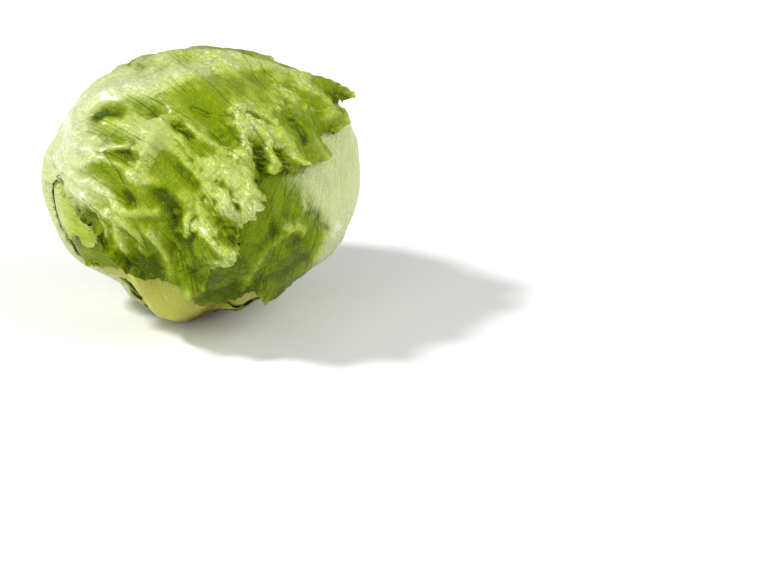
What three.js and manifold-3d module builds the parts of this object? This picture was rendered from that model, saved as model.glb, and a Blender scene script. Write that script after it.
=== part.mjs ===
// A head of crisp lettuce, as cut: a flat cut stem, a dense heart and nine wrapper leaves.
// Millimetres, +Z up. The head stands on its cut stem, and its front is towards -Y.
// Every leaf is laid over the ones before it, so the list of leaves runs from the inside out.
import * as THREE from "three";
import { mergeVertices } from "three/addons/utils/BufferGeometryUtils.js";
import Module from "manifold-3d";

// Driving dimensions
const CENTRE_HEIGHT = 67;
const HEART = { x: 74.5, y: 73, up: 64.5, down: 54 };
const STEM = { radius: 13.2, chamfer: 1.2, top: 22, topRadius: 8.5, sides: 32 };
const LEAF_THICKNESS = 0.9;
const LAYER_PITCH = 2.4;
const STEM_GAP = 1.7;
const SOCKET_GAP = 0.5;

// Footprint of a leaf, in degrees: how far past its edge it still lifts the leaves over it, and the fall after that.
const FOOT_MARGIN = 5.5;
const FOOT_FALL = 9;
// The frill fades out between these angles from the stem, in degrees, and where the reach is shorter than these.
const FRILL_START = [28, 52];
const FRILL_REACH = [12, 45];
const WAVE_SPOKES = 4;
const EDGE_SHARE = 0.78;
const OUTLINE_POINTS = 240;

// Broad bumps and hollows of the whole head: azimuth and elevation in degrees, height in mm, spread in degrees.
const BUMPS = [
  { az: 11, el: 28, height: 5.5, spread: 16 },
  { az: 204, el: -44, height: -8, spread: 17 },
  { az: 186, el: -14, height: -4, spread: 18 },
  { az: 32, el: 55, height: -3.6, spread: 15 },
  { az: 356, el: 8, height: 3.4, spread: 18 },
  { az: 262, el: 52, height: 3.5, spread: 17 },
  { az: 214, el: 34, height: 2.5, spread: 14 },
  { az: 100, el: 30, height: 3, spread: 24 },
  { az: 150, el: 54, height: -4, spread: 16 },
  { az: 184, el: -12, height: -3, spread: 13 },
  { az: 240, el: -64, height: -2, spread: 10 },
];

// Shallow swells of the whole head: plane waves through the unit sphere, with their height in mm.
const SWELLS = [
  { along: [4.6, 1.2, 3.1], phase: 0.7, height: 0.9 },
  { along: [-2.2, 5.4, 2.6], phase: 2.1, height: 0.8 },
  { along: [1.4, -3.6, 6.2], phase: 4.0, height: 0.7 },
  { along: [6.8, 4.1, -2.4], phase: 5.2, height: 0.5 },
];

// Folds that stand on one leaf: bearing and distance from its hub, the fold's own bearing, half length and half width
// in degrees, and height in mm.
const CAP_FOLDS = [
  { bearing: 22, at: 62, turn: 78, length: 34, width: 5.5, height: 3.2 },
  { bearing: 58, at: 44, turn: 66, length: 20, width: 4.5, height: 3.4 },
  { bearing: 84, at: 60, turn: 74, length: 26, width: 5, height: 3 },
  { bearing: 66, at: 82, turn: 100, length: 17, width: 4, height: 3.6 },
  { bearing: 48, at: 92, turn: 96, length: 16, width: 3.6, height: 3.2 },
  { bearing: 100, at: 50, turn: 98, length: 24, width: 4, height: 2.4 },
  { bearing: 352, at: 78, turn: 12, length: 26, width: 6, height: 2.2 },
  { bearing: 310, at: 52, turn: 310, length: 26, width: 6, height: 2.4 },
];
const SIDE_FOLDS = [
  { bearing: 262, at: 36, turn: 262, length: 18, width: 4.5, height: 1.8 },
  { bearing: 300, at: 38, turn: 300, length: 20, width: 5, height: 1.8 },
  { bearing: 40, at: 34, turn: 40, length: 18, width: 5, height: 1.8 },
];

// The hub is where a leaf's veins part: azimuth and elevation in degrees. Reach is the leaf's edge seen from its hub:
// bearing (0 away from the stem, 90 towards a larger azimuth, 180 towards the stem) and distance, both in degrees.
// A reach of TO_STEM runs to the stem. Rib is the thick midrib: height and half width in mm, end in degrees past the hub.
const TO_STEM = 120;
const LEAVES = [
  {
    name: "leaf_1_back_right", hub: [45, -8], spokes: 64, rings: 7, frill: 5, tooth: 2.2, folds: SIDE_FOLDS,
    rib: { height: 5, width: 10, end: 22 },
    reach: [[0, 74], [45, 66], [90, 58], [125, 48], [152, 42], [164, TO_STEM], [196, TO_STEM], [208, 42], [235, 48],
      [270, 56], [315, 66]],
    colour: 0x8fae3c,
  },
  {
    name: "leaf_2_left_base", hub: [212, -20], spokes: 56, rings: 6, frill: 1.5, tooth: 1, folds: [],
    rib: { height: 5.5, width: 13, end: 18 },
    reach: [[0, 40], [60, 35], [90, 32], [120, 28], [140, 30], [154, TO_STEM], [206, TO_STEM], [220, 30], [250, 24],
      [280, 28], [320, 36]],
    colour: 0xc9cf86,
  },
  {
    name: "leaf_3_right_base", hub: [300, -24], spokes: 48, rings: 6, frill: 1.5, tooth: 1, folds: [],
    rib: { height: 5, width: 15, end: 16 },
    reach: [[0, 38], [45, 34], [90, 34], [120, 32], [140, 36], [152, TO_STEM], [214, TO_STEM], [232, 32], [270, 30],
      [320, 34]],
    colour: 0xc6c884,
  },
  {
    name: "leaf_4_left", hub: [172, -5], spokes: 64, rings: 10, frill: 4, tooth: 2, folds: SIDE_FOLDS,
    rib: { height: 2.5, width: 9, end: 20 },
    reach: [[0, 60], [40, 62], [64, 63], [86, 67], [98, 68], [105, 62], [110, 50], [114, 40], [121, 27], [132, 20],
      [150, 20], [164, TO_STEM], [196, TO_STEM], [212, 46], [240, 52], [270, 60], [320, 60]],
    colour: 0x6f9420,
  },
  {
    name: "leaf_5_torn", hub: [186, -2], spokes: 64, rings: 10, frill: 2, tooth: 2.6, folds: [],
    rib: { height: 1.2, width: 8, end: 14 },
    reach: [[0, 44], [30, 40], [52, 29], [66, 26], [76, 36], [85, 33], [91, 38], [97, 44], [104, 36], [110, 22],
      [126, 13], [152, 13], [168, TO_STEM], [192, TO_STEM], [206, 26], [250, 30], [310, 38]],
    colour: 0xb9cf5c,
  },
  {
    name: "leaf_6_front_rib", hub: [250, -14], spokes: 80, rings: 7, frill: 1, tooth: 0.8, folds: [],
    rib: { height: 10, width: 14, end: 12 },
    reach: [[0, 44], [30, 40], [60, 34], [90, 25], [113, 19], [128, 24], [139, 34], [148, 52], [157, TO_STEM], [200, TO_STEM],
      [206, 36], [216, 27], [232, 16], [254, 12.5], [275, 13], [292, 16], [312, 24], [338, 38]],
    colour: 0xc3c66e,
  },
  {
    name: "leaf_7_right", hub: [352, -4], spokes: 80, rings: 9, frill: 4, tooth: 2.2, folds: SIDE_FOLDS,
    rib: { height: 5, width: 13, end: 30 },
    reach: [[0, 76], [35, 72], [65, 66], [95, 58], [125, 50], [150, 46], [165, TO_STEM], [192, TO_STEM], [203, 50],
      [216, 52], [226, 55], [232, 60], [239, 69], [247, 78], [256, 78], [270, 72], [300, 68], [330, 72]],
    colour: 0x7fa01c,
  },
  {
    name: "leaf_8_back_left", hub: [108, -6], spokes: 64, rings: 7, frill: 5, tooth: 2.2, folds: SIDE_FOLDS,
    rib: { height: 6, width: 11, end: 24 },
    reach: [[0, 78], [40, 68], [70, 56], [90, 50], [122, 44], [148, 40], [163, TO_STEM], [197, TO_STEM], [212, 44],
      [238, 50], [270, 60], [320, 72]],
    colour: 0x86a830,
  },
  {
    name: "leaf_9_cap", hub: [188, 22], spokes: 96, rings: 13, frill: 6, tooth: 2.2, folds: CAP_FOLDS,
    rib: { height: 3.5, width: 11, end: 30 },
    reach: [[351, 130], [357, 131], [8, 127], [17, 126], [24, 125], [30, 127], [37, 119], [44, 123], [51, 119], [58, 106],
      [67, 97], [82, 95], [91, 93], [99, 92], [108, 91], [114, 88], [117, 76], [118.5, 58], [120, 40], [125, 25], [135, 18],
      [150, 16], [164, 24], [173, TO_STEM], [196, TO_STEM], [207, 56], [235, 58], [265, 66], [290, 80], [315, 97],
      [335, 110], [345, 122]],
    colour: 0x93ad2c,
  },
];

// Directions on the head
const rad = THREE.MathUtils.degToRad;
const deg = THREE.MathUtils.radToDeg;
const smooth = THREE.MathUtils.smoothstep;
const DOWN = new THREE.Vector3(0, 0, -1);

function direction(az, el) {
  return new THREE.Vector3(
    Math.cos(rad(az)) * Math.cos(rad(el)), Math.sin(rad(az)) * Math.cos(rad(el)), Math.sin(rad(el)));
}

function angleBetween(a, b) {
  return deg(Math.acos(THREE.MathUtils.clamp(a.dot(b), -1, 1)));
}

// The hub's own axes: out of the head, away from the stem, and towards a larger azimuth.
function hubAxes([az, el]) {
  const out = direction(az, el);
  const tip = DOWN.clone().addScaledVector(out, -DOWN.dot(out)).normalize().negate();
  return { out, tip, side: tip.clone().cross(out) };
}

function fromHub(axes, bearing, distance) {
  return axes.out.clone().multiplyScalar(Math.cos(rad(distance)))
    .addScaledVector(axes.tip, Math.cos(rad(bearing)) * Math.sin(rad(distance)))
    .addScaledVector(axes.side, Math.sin(rad(bearing)) * Math.sin(rad(distance)));
}

function bearingAndDistance(axes, d) {
  const bearing = deg(Math.atan2(d.dot(axes.side), d.dot(axes.tip)));
  return [(bearing + 360) % 360, angleBetween(d, axes.out)];
}

// A smooth closed curve through the reach points, which never swings past them.
function closedCurve(points) {
  const sorted = [...points].sort((a, b) => a[0] - b[0]);
  const n = sorted.length;
  const at = (i) => sorted[((i % n) + n) % n];
  const gap = (i) => (at(i + 1)[0] - at(i)[0] + 360) % 360;
  const rise = (i) => (at(i + 1)[1] - at(i)[1]) / gap(i);
  const slope = (i) => (rise(i - 1) * rise(i) <= 0 ? 0 : (2 * rise(i - 1) * rise(i)) / (rise(i - 1) + rise(i)));
  return (bearing) => {
    let i = sorted.findLastIndex((p) => p[0] <= bearing);
    if (i < 0) i = n - 1;
    const width = gap(i);
    const t = ((bearing - at(i)[0] + 360) % 360) / width;
    const a = (1 + 2 * t) * (1 - t) ** 2;
    const b = t * (1 - t) ** 2 * width;
    const c = t * t * (3 - 2 * t);
    const e = t * t * (t - 1) * width;
    return a * at(i)[1] + b * slope(i) + c * at(i + 1)[1] + e * slope(i + 1);
  };
}

// The distance from the hub at which a bearing meets the stem's own small circle, or Infinity.
function stemLimit(hub, bearing) {
  const toPole = 90 + hub[1];
  const circle = deg(Math.asin(STEM.radius / HEART.down)) - 1;
  const a = Math.cos(rad(toPole));
  const b = Math.sin(rad(toPole)) * Math.cos(rad(180 - bearing));
  const reachable = Math.cos(rad(circle)) / Math.hypot(a, b);
  if (b <= 0 || reachable > 1) return Infinity;
  return deg(Math.atan2(b, a)) - deg(Math.acos(reachable));
}

function prepare(leaf) {
  const axes = hubAxes(leaf.hub);
  const curve = closedCurve(leaf.reach);
  const longest = 90 + leaf.hub[1] - 4;
  const edge = (bearing) => {
    const free = curve(((bearing % 360) + 360) % 360);
    const nearStem = Math.cos(rad(180 - bearing)) > 0 ? longest : Infinity;
    return Math.min(free, stemLimit(leaf.hub, bearing), nearStem);
  };
  const outline = alongEdge(axes, edge, OUTLINE_POINTS).map((bearing) => fromHub(axes, bearing, edge(bearing)));
  return { ...leaf, axes, edge, outline };
}

// Bearings at even steps round a leaf, mostly by the length of its edge between them and partly by bearing.
function alongEdge(axes, edge, count) {
  const steps = 1440;
  const total = [0];
  let last = fromHub(axes, 0, edge(0));
  for (let i = 1; i <= steps; i++) {
    const bearing = (i * 360) / steps;
    const here = fromHub(axes, bearing, edge(bearing));
    total.push(total[i - 1] + deg(here.distanceTo(last)));
    last = here;
  }
  const share = total.map((length, i) => EDGE_SHARE * (length / total[steps]) + (1 - EDGE_SHARE) * (i / steps));
  return Array.from({ length: count }, (_, k) => {
    const i = share.findLastIndex((s) => s <= k / count);
    return ((i + (k / count - share[i]) / (share[i + 1] - share[i])) * 360) / steps;
  });
}

const leaves = LEAVES.map(prepare);

// 1 over the leaf and just round it, falling to 0.
function footprint(leaf, d) {
  const [bearing, distance] = bearingAndDistance(leaf.axes, d);
  if (distance <= leaf.edge(bearing)) return 1;
  const nearest = angleBetween(leaf.outline.reduce((best, p) => (p.dot(d) > best.dot(d) ? p : best)), d);
  return 1 - smooth(nearest, FOOT_MARGIN, FOOT_MARGIN + FOOT_FALL);
}

// Surfaces, as a distance from the head's centre
function bodyRadius(d) {
  const z = d.z > 0 ? HEART.up : HEART.down;
  let radius = 1 / Math.hypot(d.x / HEART.x, d.y / HEART.y, d.z / z);
  for (const bump of BUMPS) {
    const away = angleBetween(d, direction(bump.az, bump.el)) / bump.spread;
    radius += bump.height * Math.exp(-away * away);
  }
  for (const swell of SWELLS) {
    const [x, y, z0] = swell.along;
    radius += swell.height * Math.sin(x * d.x + y * d.y + z0 * d.z + swell.phase) * smooth(d.z, -0.95, -0.4);
  }
  return radius;
}

// The midrib stands out along the line from the stem through the hub, and sinks into the leaf past it.
function ribHeight(leaf, d) {
  const { height, width, end } = leaf.rib;
  const across = deg(Math.asin(THREE.MathUtils.clamp(d.dot(leaf.axes.side), -1, 1)));
  const along = deg(Math.atan2(d.dot(leaf.axes.tip), d.dot(leaf.axes.out)));
  const stemEnd = -(90 + leaf.hub[1]);
  const nearStem = smooth(along, stemEnd + 8, stemEnd + 38);
  const nearTip = 1 - smooth(along, -18, end);
  const halfWidth = deg(width / HEART.x);
  const facing = d.dot(leaf.axes.out) > -0.7 ? 1 : 0;
  return height * nearStem * nearTip * facing * Math.exp(-((across / halfWidth) ** 2));
}

function foldHeight(leaf, bearing, distance) {
  let height = 0;
  for (const fold of leaf.folds) {
    const x = distance * Math.sin(rad(bearing)) - fold.at * Math.sin(rad(fold.bearing));
    const y = distance * Math.cos(rad(bearing)) - fold.at * Math.cos(rad(fold.bearing));
    const along = x * Math.sin(rad(fold.turn)) + y * Math.cos(rad(fold.turn));
    const across = x * Math.cos(rad(fold.turn)) - y * Math.sin(rad(fold.turn));
    height += fold.height * Math.exp(-((along / fold.length) ** 2) - (across / fold.width) ** 2);
  }
  return height;
}

// What lies under a leaf, and how open the sky is over it.
function lyingOn(index, d) {
  let radius = bodyRadius(d);
  for (const under of leaves.slice(0, index)) radius += footprint(under, d) * (LAYER_PITCH + ribHeight(under, d));
  return radius;
}

function openSky(index, d) {
  return leaves.slice(index + 1).reduce((open, over) => open * (1 - footprint(over, d)), 1);
}

// Solids
let wasm;

function toManifold(geometry) {
  const bare = geometry.index ? geometry.toNonIndexed() : geometry.clone();
  bare.deleteAttribute("normal");
  bare.deleteAttribute("uv");
  const merged = mergeVertices(bare, 1e-4);
  return new wasm.Manifold(new wasm.Mesh({
    numProp: 3,
    vertProperties: merged.attributes.position.array,
    triVerts: new Uint32Array(merged.index.array),
  }));
}

function fromManifold(solid) {
  const mesh = solid.getMesh();
  const geometry = new THREE.BufferGeometry();
  geometry.setAttribute("position", new THREE.BufferAttribute(mesh.vertProperties, 3));
  geometry.setIndex(new THREE.BufferAttribute(mesh.triVerts, 1));
  return geometry;
}

// The rings of a leaf from its hub to its edge: the share of the reach, and one spoke in how many.
function ringsOf(leaf) {
  return Array.from({ length: leaf.rings }, (_, i) => {
    const share = ((i + 1) / leaf.rings) ** 0.9;
    return [share, share < 0.2 ? 8 : share < 0.38 ? 4 : share < 0.7 ? 2 : 1];
  });
}

// A point of a leaf, kept off the floor and clear of the stem.
function placeOnHead(d, radius, lowest) {
  const point = d.clone().multiplyScalar(radius);
  point.z = Math.max(point.z + CENTRE_HEIGHT, lowest);
  const fromAxis = Math.hypot(point.x, point.y);
  const least = STEM.radius + STEM_GAP;
  if (point.z < CENTRE_HEIGHT && fromAxis < least) {
    point.x *= least / fromAxis;
    point.y *= least / fromAxis;
  }
  return point;
}

// The outer and inner point of a leaf at one place: share of the reach along one spoke.
function leafPoints(leaf, index, bearing, share, wave) {
  const edge = leaf.edge(bearing);
  const fromStem = (distance) => angleBetween(fromHub(leaf.axes, bearing, distance), DOWN);
  const free = smooth(fromStem(edge), ...FRILL_START);
  const distance = share * (edge + (share === 1 ? leaf.tooth * wave * free : 0));
  const d = fromHub(leaf.axes, bearing, distance);
  const sky = openSky(index, d);
  const lift = leaf.frill * smooth(share, 0.72, 1) * free * smooth(edge, ...FRILL_REACH) * (0.5 + 0.5 * wave);
  const own = (lift + foldHeight(leaf, bearing, distance)) * sky;
  const inner = lyingOn(index, d) + own;
  const outer = inner + LEAF_THICKNESS + ribHeight(leaf, d);
  return [placeOnHead(d, outer, 0), placeOnHead(d, inner, LEAF_THICKNESS)];
}

// Triangles between two rings of a fan, where the outer ring has as many points as the inner one, or twice as many.
function stitch(faces, inner, outer) {
  const step = outer.length / inner.length;
  for (let k = 0; k < inner.length; k++) {
    const a = inner[k];
    const b = inner[(k + 1) % inner.length];
    const ring = Array.from({ length: step + 1 }, (_, j) => outer[(k * step + j) % outer.length]);
    for (let j = 0; j < Math.ceil(step / 2); j++) faces.push([a, ring[j + 1], ring[j]]);
    faces.push([a, b, ring[Math.ceil(step / 2)]]);
    for (let j = Math.ceil(step / 2); j < step; j++) faces.push([b, ring[j + 1], ring[j]]);
  }
}

function leafGeometry(leaf, index) {
  const points = [];
  const faces = [];
  const add = (bearing, share, wave) => points.push(leafPoints(leaf, index, bearing, share, wave)) - 1;
  const bearings = alongEdge(leaf.axes, leaf.edge, leaf.spokes);
  const hub = add(0, 0, 0);
  let ring = [];
  for (const [share, every] of ringsOf(leaf)) {
    const next = [];
    for (let k = 0; k < leaf.spokes; k += every)
      next.push(add(bearings[k], share, Math.cos((2 * Math.PI * k) / WAVE_SPOKES)));
    if (ring.length) stitch(faces, ring, next);
    else next.forEach((a, k) => faces.push([hub, next[(k + 1) % next.length], a]));
    ring = next;
  }
  const count = points.length;
  const index3 = faces.flatMap(([a, b, c]) => [a, b, c, count + a, count + c, count + b]);
  ring.forEach((a, k) => {
    const b = ring[(k + 1) % ring.length];
    index3.push(a, b, count + b, a, count + b, count + a);
  });
  const all = [...points.map((p) => p[0]), ...points.map((p) => p[1])];
  const geometry = new THREE.BufferGeometry().setFromPoints(all);
  geometry.setIndex(index3);
  return geometry;
}

// The cut stem, which narrows into its seat in the heart. A grown copy of it cuts that seat.
function stemGeometry(grow) {
  const r = STEM.radius;
  const low = -grow * 40;
  const profile = [
    [0, low], [r - STEM.chamfer + grow, low], [r + grow, low + STEM.chamfer], [r * 1.02 + grow, 12],
    [r * 0.92 + grow, 17.5], [STEM.topRadius + grow, STEM.top - 1.5 + grow], [STEM.topRadius - 2 + grow, STEM.top + grow],
    [0, STEM.top + grow],
  ];
  const geometry = new THREE.LatheGeometry(profile.map(([x, z]) => new THREE.Vector2(x, z)), STEM.sides);
  return geometry.rotateX(Math.PI / 2);
}

// The heart: a dense ball of inner leaves, with the edges of the outer ones of them raised on its surface.
const HEART_EDGES = [
  { az: 205, el: 30, reach: 62, step: 1.1 },
  { az: 330, el: 35, reach: 58, step: 1.1 },
  { az: 85, el: 40, reach: 60, step: 1.1 },
];
const HEART_DETAIL = 9;

function heartRadius(d) {
  let radius = bodyRadius(d) - 1.6;
  for (const fold of HEART_EDGES) {
    const away = angleBetween(d, direction(fold.az, fold.el));
    radius -= fold.step * smooth(away, fold.reach, fold.reach + 4);
  }
  return radius;
}

function heartGeometry() {
  const geometry = new THREE.IcosahedronGeometry(1, HEART_DETAIL);
  geometry.deleteAttribute("normal");
  geometry.deleteAttribute("uv");
  const ball = mergeVertices(geometry, 1e-4);
  const place = ball.getAttribute("position");
  const d = new THREE.Vector3();
  for (let i = 0; i < place.count; i++) {
    d.fromBufferAttribute(place, i).normalize();
    d.multiplyScalar(heartRadius(d));
    place.setXYZ(i, d.x, d.y, d.z + CENTRE_HEIGHT);
  }
  return fromManifold(toManifold(ball).subtract(toManifold(stemGeometry(SOCKET_GAP))));
}

// The head
function finish(colour, roughness) {
  return new THREE.MeshStandardMaterial({ color: colour, roughness, metalness: 0 });
}

function namedMesh(name, geometry, material) {
  const mesh = new THREE.Mesh(geometry, material);
  mesh.name = name;
  return mesh;
}

wasm = await Module();
wasm.setup();

const head = new THREE.Group();
head.add(namedMesh("stem", stemGeometry(0), finish(0xb59a6a, 0.7)));
head.add(namedMesh("heart", heartGeometry(), finish(0xcfd98a, 0.5)));
leaves.forEach((leaf, index) =>
  head.add(namedMesh(leaf.name, leafGeometry(leaf, index), finish(leaf.colour, 0.42))));

// The origin is under the middle of the head's box, on the surface that the head stands on.
const middle = new THREE.Box3().setFromObject(head).getCenter(new THREE.Vector3());
head.position.set(-middle.x, -middle.y, 0);

export default head;
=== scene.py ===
"""A head of crisp lettuce: its cut stem, its heart and nine wrapper leaves, on a pale floor."""

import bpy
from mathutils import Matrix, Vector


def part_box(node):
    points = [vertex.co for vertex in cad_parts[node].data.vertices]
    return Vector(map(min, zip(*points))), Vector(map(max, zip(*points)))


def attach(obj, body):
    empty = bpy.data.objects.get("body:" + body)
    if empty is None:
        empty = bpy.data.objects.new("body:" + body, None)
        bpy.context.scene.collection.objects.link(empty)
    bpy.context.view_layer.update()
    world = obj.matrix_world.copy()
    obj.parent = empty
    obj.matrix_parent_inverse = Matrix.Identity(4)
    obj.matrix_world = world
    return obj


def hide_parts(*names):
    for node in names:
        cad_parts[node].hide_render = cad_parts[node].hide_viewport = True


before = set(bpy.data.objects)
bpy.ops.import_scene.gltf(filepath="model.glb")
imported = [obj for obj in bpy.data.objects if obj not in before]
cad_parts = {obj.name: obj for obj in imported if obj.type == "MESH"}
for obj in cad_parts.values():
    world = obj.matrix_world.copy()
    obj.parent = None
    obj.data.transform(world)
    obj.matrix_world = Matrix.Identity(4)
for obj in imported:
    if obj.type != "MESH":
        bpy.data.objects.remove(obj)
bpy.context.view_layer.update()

import math

import bmesh
import bpy
import numpy as np
from mathutils import Quaternion, Vector

bl_info = {
    "name": "Head of Lettuce",
    "version": (1, 0, 0),
    "blender": (4, 5, 0),
    "location": "View3D > Sidebar > Lettuce",
    "description": "Builds a head of crisp lettuce with veined, blistered and frilled leaves",
    "category": "Mesh",
}

# Sizes of the head, in millimetres. They are the ones that the solids were made with.
MM = 0.001
CENTRE_HEIGHT = 67.0
HEART = {"x": 74.5, "y": 73.0, "up": 64.5, "down": 54.0}
STEM_RADIUS = 13.2
STEM_TOP = 22.0
STEM_TOP_RADIUS = 8.5
STEM_STEPS = 96
LEAF_THICKNESS = 0.9
EDGE_THICKNESS = 0.4
STEM_GAP = 1.7
# The heart is hollowed over the stem within this radius.
STEM_ROOM = 15.0
MM_PER_DEGREE = 1.35
FOOT_MARGIN = 5.5
FOOT_FALL = 9.0
FRILL_START = (28.0, 52.0)
FRILL_REACH = (12.0, 45.0)
WAVE_SPOKES = 4
EDGE_SHARE = 0.78
LAYER_PITCH = 2.4
# How far in from its edge a leaf keeps what marks the edge, in mm; the last is for the painted glow of
# light through the thin edge.
FADE = {"tooth": 6, "jag": 7, "notch": 20, "lean": 5, "thin": 5, "curl": 2.5, "edge_glow": 1.3}
# Lengths of the lobes, teeth and nicks round an edge, in mm.
LOBE, TOOTH, NICK = 11, 5.2, 2.4
# Ruffles along an edge: their length, height and reach in mm, their seed, and where they are.
RUFFLE_WAVES = ((9, 2.2, 8, 4, "calm"), (4, 2.0, 3.6, 5, "ragged"), (2, 1.4, 2, 12, "ragged"))
# Millimetres on a leaf for each radian round the hub, the rays' point and the rings' middle.
HUB_SPREAD, RAY_SPREAD, RING_SPREAD = 55.0, 75.0, 120.0
# Width and length of the pleats and the fine wrinkles along the veins, in mm.
PLEAT = (7, 26)
WRINKLE = (2.6, 7.5)
# The finer relief never goes deeper than this, in mm, so that no leaf cuts the one below it.
DEEPEST = 1.3
CURL = 1.6
FRILL_FROM = 0.72

# Broad bumps and hollows of the whole head: azimuth, elevation, height in mm and spread in degrees.
BUMPS = (
    (11, 28, 5.5, 16), (204, -44, -8, 17), (186, -14, -4, 18), (32, 55, -3.6, 15), (356, 8, 3.4, 18),
    (262, 52, 3.5, 17), (214, 34, 2.5, 14), (100, 30, 3, 24), (150, 54, -4, 16), (184, -12, -3, 13),
    (240, -64, -2, 10),
)
# Shallow swells: a plane wave through the unit sphere, its phase and its height in mm.
SWELLS = (
    ((4.6, 1.2, 3.1), 0.7, 0.9), ((-2.2, 5.4, 2.6), 2.1, 0.8),
    ((1.4, -3.6, 6.2), 4.0, 0.7), ((6.8, 4.1, -2.4), 5.2, 0.5),
)
# Folds of one leaf: bearing and distance from its hub, own bearing, half length, half width and height.
CAP_FOLDS = (
    (22, 62, 78, 34, 5.5, 3.2), (58, 44, 66, 20, 4.5, 3.4), (84, 60, 74, 26, 5, 3),
    (66, 82, 100, 17, 4, 3.6), (48, 92, 96, 16, 3.6, 3.2), (100, 50, 98, 24, 4, 2.4),
    (352, 78, 12, 26, 6, 2.2), (310, 52, 310, 26, 6, 2.4),
)
SIDE_FOLDS = ((262, 36, 262, 18, 4.5, 1.8), (300, 38, 300, 20, 5, 1.8), (40, 34, 40, 18, 5, 1.8))
TO_STEM = 120

# The wrapper leaves from the inside out. Hub is where a leaf's veins part: azimuth and elevation.
# Reach is its edge seen from the hub: bearing, 0 away from the stem and 180 towards it, and distance.
# Rib is the midrib's height and half width in mm, and its end in degrees past the hub.
# Jag is how ragged the edge is, and pale is how far the pale ground spreads from the hub.
# Rays or rings give the image point that the veins part from or curve round, and stalk its half width.
LEAVES = (
    {"name": "leaf_1_back_right", "hub": (45, -8), "frill": 5, "tooth": 2.2, "folds": SIDE_FOLDS,
     "rib": (5, 10, 22), "jag": 0.9, "pale": 34, "slot": "inner_wrapper", "columns": 96,
     "reach": ((0, 74), (45, 66), (90, 58), (125, 48), (152, 42), (164, TO_STEM), (196, TO_STEM),
               (208, 42), (235, 48), (270, 56), (315, 66))},
    {"name": "leaf_2_left_base", "hub": (212, -20), "spokes": 56, "frill": 1.5, "tooth": 1,
     "rib": (5.5, 13, 18), "jag": 0.7, "pale": 60, "slot": "pale_rib", "columns": 72,
     "reach": ((0, 40), (60, 35), (90, 32), (120, 28), (140, 30), (154, TO_STEM), (206, TO_STEM),
               (220, 30), (250, 24), (280, 28), (320, 36))},
    {"name": "leaf_3_right_base", "hub": (300, -24), "spokes": 48, "frill": 1.5, "tooth": 1,
     "rib": (5, 15, 16), "jag": 0.7, "pale": 60, "slot": "pale_rib", "columns": 72,
     "reach": ((0, 38), (45, 34), (90, 34), (120, 32), (140, 36), (152, TO_STEM), (214, TO_STEM),
               (232, 32), (270, 30), (320, 34))},
    {"name": "leaf_4_left", "hub": (172, -5), "frill": 4, "tooth": 2, "folds": SIDE_FOLDS,
     "rib": (2.5, 9, 20), "jag": 1.3, "pale": 22, "slot": "inner_wrapper", "columns": 112,
     "reach": ((0, 60), (40, 62), (64, 63), (88, 67), (103, 68), (111, 62), (117, 50), (122, 40),
               (130, 28), (140, 22), (152, 22), (164, TO_STEM), (196, TO_STEM), (212, 46), (240, 52),
               (270, 60), (320, 60))},
    {"name": "leaf_5_torn", "hub": (186, -2), "frill": 2, "tooth": 2.6, "rib": (1.2, 8, 14), "jag": 1.5,
     "pale": 30, "slot": "torn_leaf", "columns": 112,
     "reach": ((0, 44), (30, 40), (52, 29), (66, 26), (76, 36), (85, 33), (91, 38), (97, 44), (104, 36),
               (110, 26), (126, 20), (152, 23), (168, TO_STEM), (192, TO_STEM), (206, 26), (250, 30),
               (310, 38))},
    {"name": "leaf_6_front_rib", "hub": (250, -14), "spokes": 80, "frill": 1, "tooth": 0.8,
     "rib": (10, 14, 12), "jag": 0.5, "pale": 70, "slot": "pale_rib", "columns": 96,
     "reach": ((0, 44), (30, 40), (60, 34), (90, 25), (113, 19), (128, 24), (139, 34), (148, 52),
               (157, TO_STEM), (200, TO_STEM), (206, 36), (216, 27), (232, 16), (254, 12.5), (275, 13),
               (292, 16), (312, 24), (338, 38))},
    {"name": "leaf_7_right", "hub": (352, -4), "spokes": 80, "frill": 4, "tooth": 2.2,
     "folds": SIDE_FOLDS, "rib": (5, 13, 30), "jag": 1.2, "pale": 36, "slot": "right_leaf",
     "columns": 128, "rays": (352, 30),
     "reach": ((0, 76), (35, 72), (65, 66), (95, 58), (125, 50), (150, 46), (165, TO_STEM),
               (192, TO_STEM), (203, 50), (216, 52), (226, 55), (232, 60), (239, 69), (247, 78),
               (256, 78), (270, 72), (300, 68), (330, 72))},
    {"name": "leaf_8_back_left", "hub": (108, -6), "frill": 5, "tooth": 2.2, "folds": SIDE_FOLDS,
     "rib": (6, 11, 24), "jag": 1.0, "pale": 36, "slot": "inner_wrapper", "columns": 112,
     "reach": ((0, 78), (40, 68), (70, 56), (90, 50), (122, 44), (148, 40), (163, TO_STEM),
               (197, TO_STEM), (212, 44), (238, 50), (270, 60), (320, 72))},
    {"name": "leaf_9_cap", "hub": (188, 22), "spokes": 96, "frill": 6, "tooth": 2.2, "folds": CAP_FOLDS,
     "rib": (3.5, 11, 30), "jag": 1.0, "pale": 40, "slot": "cap_leaf", "columns": 160, "rings": (20, 330),
     "stalk": 30,
     "reach": ((351, 130), (357, 131), (8, 127), (17, 126), (24, 125), (30, 127), (37, 119), (44, 123),
               (51, 119), (58, 106), (67, 97), (82, 95), (91, 93), (99, 92), (108, 91), (114, 88),
               (117, 76), (118.5, 58), (120, 40), (125, 25), (135, 18), (150, 16), (164, 24),
               (173, TO_STEM), (196, TO_STEM), (207, 56), (235, 58), (265, 66), (290, 80), (315, 97),
               (335, 110), (345, 122))},
)

DOWN = np.array([0.0, 0.0, -1.0])
# Rows on the inner face of a leaf, and where its grid doubles its points: from this share of the outer
# face to so many rows past its end.
INNER_ROWS = 20
MORE_POINTS = ((0.12, 4.5), (0.34, 3.5), (0.86, 2.5))
# The heart stays this far under the first leaf, with low puckers, in mm.
HEART_DOWN = 1.7
HEART_PUCKER = 0.3
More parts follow.
